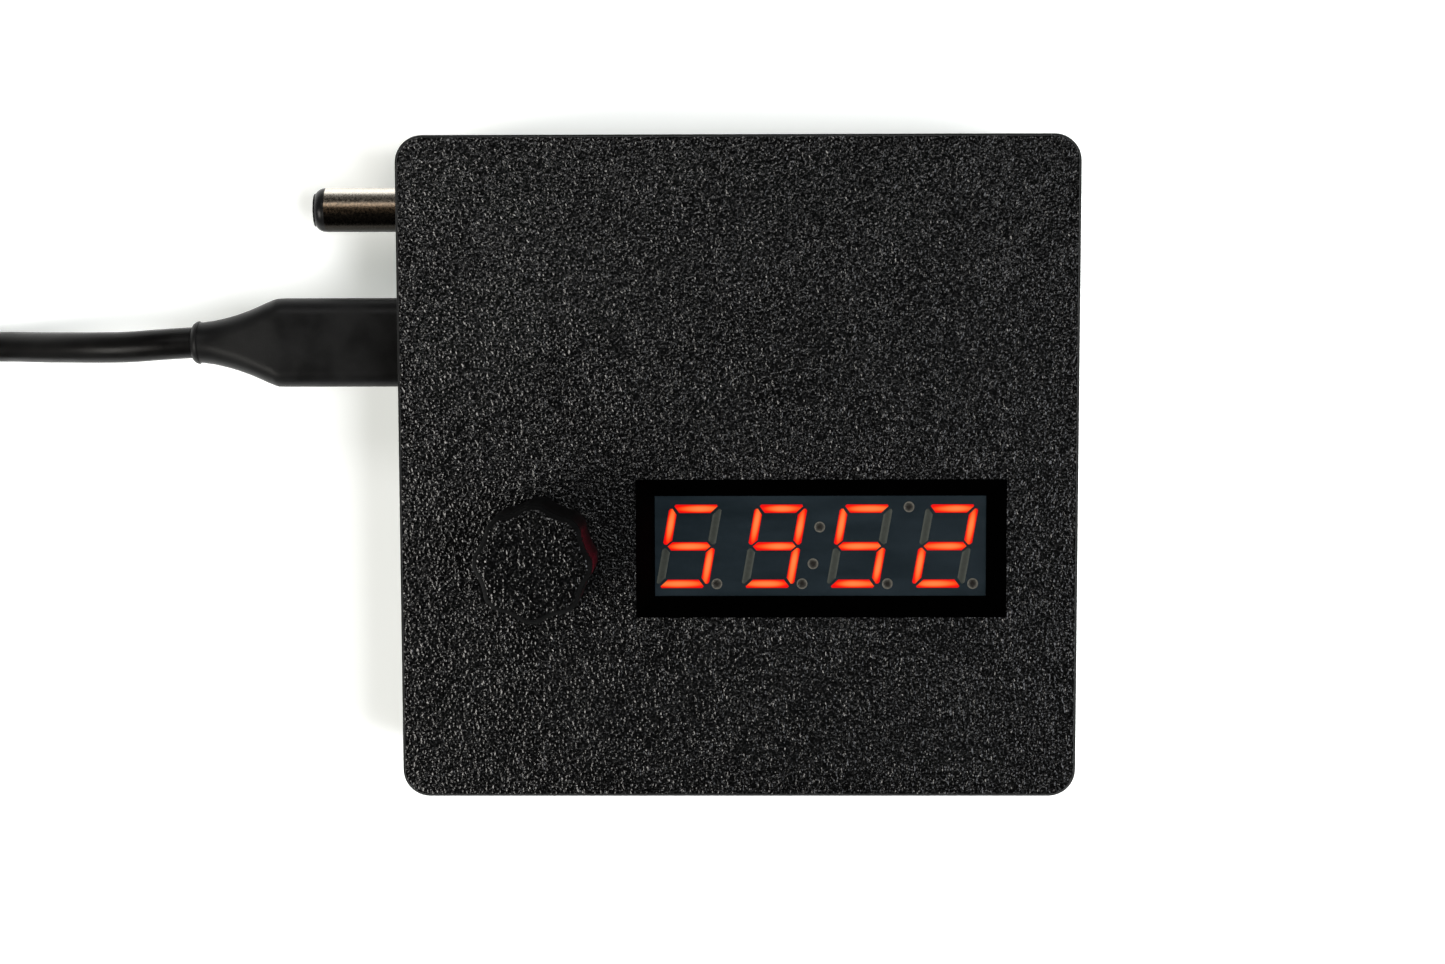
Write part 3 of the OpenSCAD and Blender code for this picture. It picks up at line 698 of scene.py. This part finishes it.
def moulded(name, tone, roughness=0.45, grain=0.12, depth=0.006, warm=0.0, gloss=0.4):
    """Moulded plastic or rubber with a fine skin and slightly uneven sheen."""
    look = Look(name, Roughness=roughness, Specular_IOR_Level=gloss)
    skin = look.noise(grain * MM, detail=3)
    patches = look.noise(4 * MM, detail=3)
    color = tone if isinstance(tone, tuple) else grey(tone, warm)
    darker, lighter = ([c * f for c in color] for f in (0.75, 1.3))
    look.set("Base Color", look.ramp(patches, [(0.35, darker), (0.65, lighter)]))
    look.set("Roughness", look.spread(patches, 0.3, 0.7, roughness - 0.06, roughness + 0.08))
    return look.bump(skin, depth * MM).material


def metal(name, color, roughness=0.2, stretch=(1, 1, 1), scratch=0.12, depth=0.002):
    """Plated or drawn metal with fine marks that run one way."""
    look = Look(name, Metallic=1.0, Roughness=roughness)
    marks = look.noise(scratch * MM, detail=4, roughness=0.7, stretch=stretch)
    clouds = look.noise(2.5 * MM, detail=3)
    darker, lighter = ([min(c * f, 1) for c in color] for f in (0.82, 1.08))
    look.set("Base Color", look.ramp(clouds, [(0.3, darker), (0.7, lighter)]))
    look.set("Roughness", look.spread(marks, 0.3, 0.75, roughness * 0.7, roughness * 1.6))
    return look.bump(marks, depth * MM).material


def woven():
    """The strap's fabric: a tight two-way weave under short loops."""
    look = Look("strap_weave", Roughness=0.9, Sheen_Weight=0.4, Specular_IOR_Level=0.2)
    fuzz = look.noise(0.15 * MM, detail=3)
    threads = [
        look.node("ShaderNodeTexWave", {"Vector": look.place(), "Scale": 350.0},
                  bands_direction=way).outputs["Fac"]
        for way in ("X", "Y")
    ]
    weave = look.math("ADD", look.math("MULTIPLY", *threads), fuzz)
    look.set("Base Color", look.ramp(fuzz, [(0.3, grey(0.006)), (0.7, grey(0.03))]))
    return look.bump(weave, 0.08 * MM).material


def circuit_board():
    """Green solder mask over copper, with paler tracks."""
    look = Look("solder_mask", Roughness=0.3, Specular_IOR_Level=0.5)
    tracks = look.cell_edges(3.2 * MM)
    mask = look.spread(tracks, 0.05, 0.09)
    stops = [(0.0, (0.02, 0.12, 0.04)), (1.0, (0.006, 0.05, 0.018))]
    look.set("Base Color", look.ramp(mask, stops))
    return look.bump(mask, 0.03 * MM).material


def screw_steel():
    """Zinc plate on the screws."""
    return metal("zinc_screw", (0.55, 0.55, 0.56), 0.32, stretch=(1, 1, 6), scratch=0.2)


def tinned():
    """Tin plate on cans, pins and the encoder's metal."""
    return metal("tinned_metal", (0.66, 0.66, 0.65), 0.3, stretch=(1, 1, 3), scratch=0.2)


def nickel():
    """Bright plate on the USB shells."""
    return metal("bright_nickel", (0.7, 0.665, 0.62), 0.18, stretch=(0.12, 1, 1), scratch=0.1,
                 depth=0.004)


def nickel_painted_reflections():
    """The barrel's plating, with painted reflections: bands across it, bright at the rear side and
    brown-black towards the front.
    """
    look = Look("nickel_painted_reflections", Metallic=1.0, Roughness=0.26)
    lo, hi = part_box("dc_plug_sleeve")
    parts = look.node("ShaderNodeSeparateXYZ", {"Vector": look.place()})
    across = look.spread(parts.outputs["Y"], lo.y, hi.y)
    specks = look.noise(0.3 * MM, detail=3, roughness=0.7)
    mixed = look.math("ADD", across, look.spread(specks, 0.3, 0.7, -0.04, 0.04))
    # Painted reflections: bright and dark bands across the sleeve stand in for the lamps and floor
    # mirrored in the plating.
    stops = [(0.0, (0.02, 0.018, 0.015)), (0.4, (0.03, 0.025, 0.02)), (0.52, (0.2, 0.14, 0.09)),
             (0.68, (0.1, 0.083, 0.066)), (0.8, (0.4, 0.35, 0.29)), (0.88, (0.72, 0.67, 0.6))]
    look.set("Base Color", look.ramp(mixed, stops))
    look.set("Roughness", look.spread(specks, 0.3, 0.7, 0.2, 0.34))
    return look.bump(specks, 0.006 * MM).material


def gold_strip():
    """Gold-coloured spring strip."""
    return metal("spring_strip", (0.75, 0.62, 0.36), 0.25, stretch=(0.3, 1, 1))


# Each material and the CAD nodes that wear it.
NODE_LOOKS = [
    (lambda: layered("printed_cover", 0.006, 0.25 * MM), ["bottom_cover", "dc_plug_clamp"]),
    (screw_steel, ["cover_screws", "board_screws"]),
    (lambda: metal("insert_brass", (0.75, 0.55, 0.22), 0.28), ["cover_inserts"]),
    (lambda: moulded("foot_rubber", 0.012, 0.7, 0.2, 0.02), ["rubber_feet"]),
    (circuit_board, ["main_board"]),
    (lambda: moulded("chip_epoxy", 0.014, 0.55, 0.1, 0.01),
     ["controller_chip", "display_driver", "voltage_regulator", "output_transistor",
      "chip_resistors"]),
    (lambda: moulded("ferrite", 0.05, 0.75, 0.3, 0.03), ["power_inductor"]),
    (lambda: moulded("fired_ceramic", (0.42, 0.3, 0.18), 0.6), ["chip_capacitors"]),
    (tinned, ["crystal_can", "filter_capacitors", "display_pins", "encoder_pins",
              "encoder_frame", "encoder_bushing", "encoder_shaft"]),
    (lambda: moulded("display_shell", 0.004, 0.6), ["display_body"]),
    (film, ["display_face"]),
    (lambda: moulded("encoder_housing", (0.03, 0.08, 0.06), 0.5), ["encoder_base"]),
    (lambda: moulded("acetal", (0.6, 0.58, 0.52), 0.4), ["encoder_rotor"]),
    (gold_strip, ["detent_spring", "dc_plug_contact", "dc_plug_lug"]),
    (nickel_painted_reflections, ["dc_plug_sleeve"]),
    (nickel, ["usb_socket_shell", "usb_plug_shell", "far_plug_shell"]),
    (lambda: moulded("plug_black", 0.006, 0.28, 0.3, 0.004, gloss=0.15),
     ["dc_plug_insulator", "dc_plug_collar", "usb_socket_tongue", "usb_plug_liner",
      "far_plug_liner"]),
    (lambda: moulded("wire_sleeve_red", (0.4, 0.015, 0.01), 0.4), ["red_wire"]),
    (lambda: moulded("wire_sleeve_black", 0.01, 0.4), ["black_wire"]),
]


def wear(piece, *materials):
    """The piece's materials, in place of any it has."""
    piece.data.materials.clear()
    for material in materials:
        piece.data.materials.append(material)


def dress_case(piece, top_z, face_print, wall_print, window_painted_shade=None):
    """Pebbles on the face that was printed on the plate, layers on the walls, and painted shade,
    near black, on the window's sides."""
    wear(piece, face_print, wall_print, window_painted_shade or wall_print)
    face, wall, window = range(3)
    reach = 2.2 * MM                    # the window's slopes end this far from the readout
    for polygon in piece.data.polygons:
        middle = polygon.center
        inside = (
            window_painted_shade is not None
            and face_lo.x - reach < middle.x < face_hi.x + reach
            and face_lo.y - reach < middle.y < face_hi.y + reach
            and polygon.normal.z > -0.5
        )
        if polygon.normal.z > 0.99 and middle.z > top_z - 0.05 * MM:
            polygon.material_index = face
        else:
            polygon.material_index = window if inside and middle.z > face_lo.z else wall


for make_look, names in NODE_LOOKS:
    material = make_look()
    for name in names:
        wear(nodes[name], material)

wall_print = layered("printed_wall")
case_print = pebbled("pebbled_print", 0.37 * MM, 0.5)
dress_case(nodes["top_case"], TOP, case_print, wall_print, window_shade_look())
# The knob's sides: the printed wall made darker and duller than the case's, as painted shade for
# the knob's shaded sides.
knob_wall_painted_shade = layered("printed_knob_wall_shaded", tone=0.0015, gloss=0.05)
knob_face_print = pebbled("pebbled_knob", 0.38 * MM, 0.42, tone=0.6)
dress_case(knob, knob_top, knob_face_print, knob_wall_painted_shade)
wear(lit_strokes, glowing())
wear(dark_strokes, unlit())
wear(dots, dot_resin())
wear(snap_disc, gold_strip())
grip_skin = moulded("grip_skin", 0.005, 0.42, 0.2, 0.014, gloss=0.16)
wear(near_grip, grip_skin)
wear(far_grip, grip_skin)
wear(cable, moulded("cable_skin", 0.0025, 0.34, 0.3, 0.01, 0.06, gloss=0.12))
wear(tie, woven())


# ---- floor and light ----------------------------------------------------------------------

FLOOR_HALF = 1.5

# Each lamp's place in millimetres from the middle of the case, its two sides in metres, its
# power in watts and its colour.  All of them point at the case.
LAMPS = {
    "key": ((310, -80, 240), (0.2, 0.2), 0.52, (0.93, 0.96, 1.0)),
    "overhead": ((200, -30, 480), (0.22, 0.22), 3.4, (0.98, 0.99, 1.0)),
    "back": ((-100, 380, 600), (0.3, 0.2), 0.85, (1.0, 0.99, 0.98)),
    "left": ((-520, -200, 470), (0.3, 0.3), 3.0, (1.0, 0.97, 0.91)),
}


def make_floor():
    """A pale tabletop that glows faintly, so that it stays white in the picture."""
    signs = ((-1, -1), (1, -1), (1, 1), (-1, 1))
    corners = [(x * FLOOR_HALF, y * FLOOR_HALF, 0) for x, y in signs]
    floor = add_object("floor", mesh_of("floor", corners, [(0, 1, 2, 3)]))
    look = Look("lit_table", Roughness=0.7, Specular_IOR_Level=0.1,
                Emission_Color=(0.95, 1.0, 0.93, 1), Emission_Strength=0.33)
    tone = look.noise(60 * MM, detail=2)
    look.set("Base Color", look.ramp(tone, [(0.3, grey(0.9)), (0.7, grey(0.92))]))
    wear(floor, look.material)


def softbox(name, place, target, size, watts, color):
    """A flat lamp turned towards its target."""
    data = bpy.data.lights.new(name, "AREA")
    data.shape = "RECTANGLE"
    data.size, data.size_y = size
    data.energy = watts
    data.color = color
    lamp = bpy.data.objects.new(name, data)
    lamp.location = place
    lamp.rotation_euler = (target - place).to_track_quat("-Z", "Y").to_euler()
    bpy.context.scene.collection.objects.link(lamp)
    return lamp


def make_studio():
    """Pale walls, a dark ceiling and soft lamps.  The overhead lamp lights the floor and casts
    the case's soft shadow, and is kept out of reflections.  The small red one stands for the
    readout's light on the knob."""
    world = bpy.data.worlds.new("studio")
    world.use_nodes = True
    bpy.context.scene.world = world
    tree = world.node_tree
    direction = tree.nodes.new("ShaderNodeTexCoord").outputs["Generated"]
    split = tree.nodes.new("ShaderNodeSeparateXYZ")
    tree.links.new(direction, split.inputs[0])
    ramp = tree.nodes.new("ShaderNodeValToRGB")
    tree.links.new(split.outputs["Z"], ramp.inputs["Fac"])
    low, high = ramp.color_ramp.elements
    low.position, low.color = 0.1, (0.30, 0.31, 0.32, 1)
    high.position, high.color = 0.6, (0.012, 0.012, 0.013, 1)
    sky = tree.nodes["Background"]
    tree.links.new(ramp.outputs["Color"], sky.inputs["Color"])
    sky.inputs["Strength"].default_value = 1.0
    for name, (place, size, watts, color) in LAMPS.items():
        lamp = softbox(name, at(*place), at(0, 0, 20), size, watts, color)
        lamp.visible_glossy = name != "overhead"
    glow = softbox("readout_glow", at(-9, -9.5, 26.6), at(-17, -9.5, 31), (0.01, 0.001), 0.0005,
                   (1.0, 0.01, 0.09))
    glow.visible_camera = False


make_floor()
make_studio()
bpy.context.scene.view_settings.view_transform = "Standard"
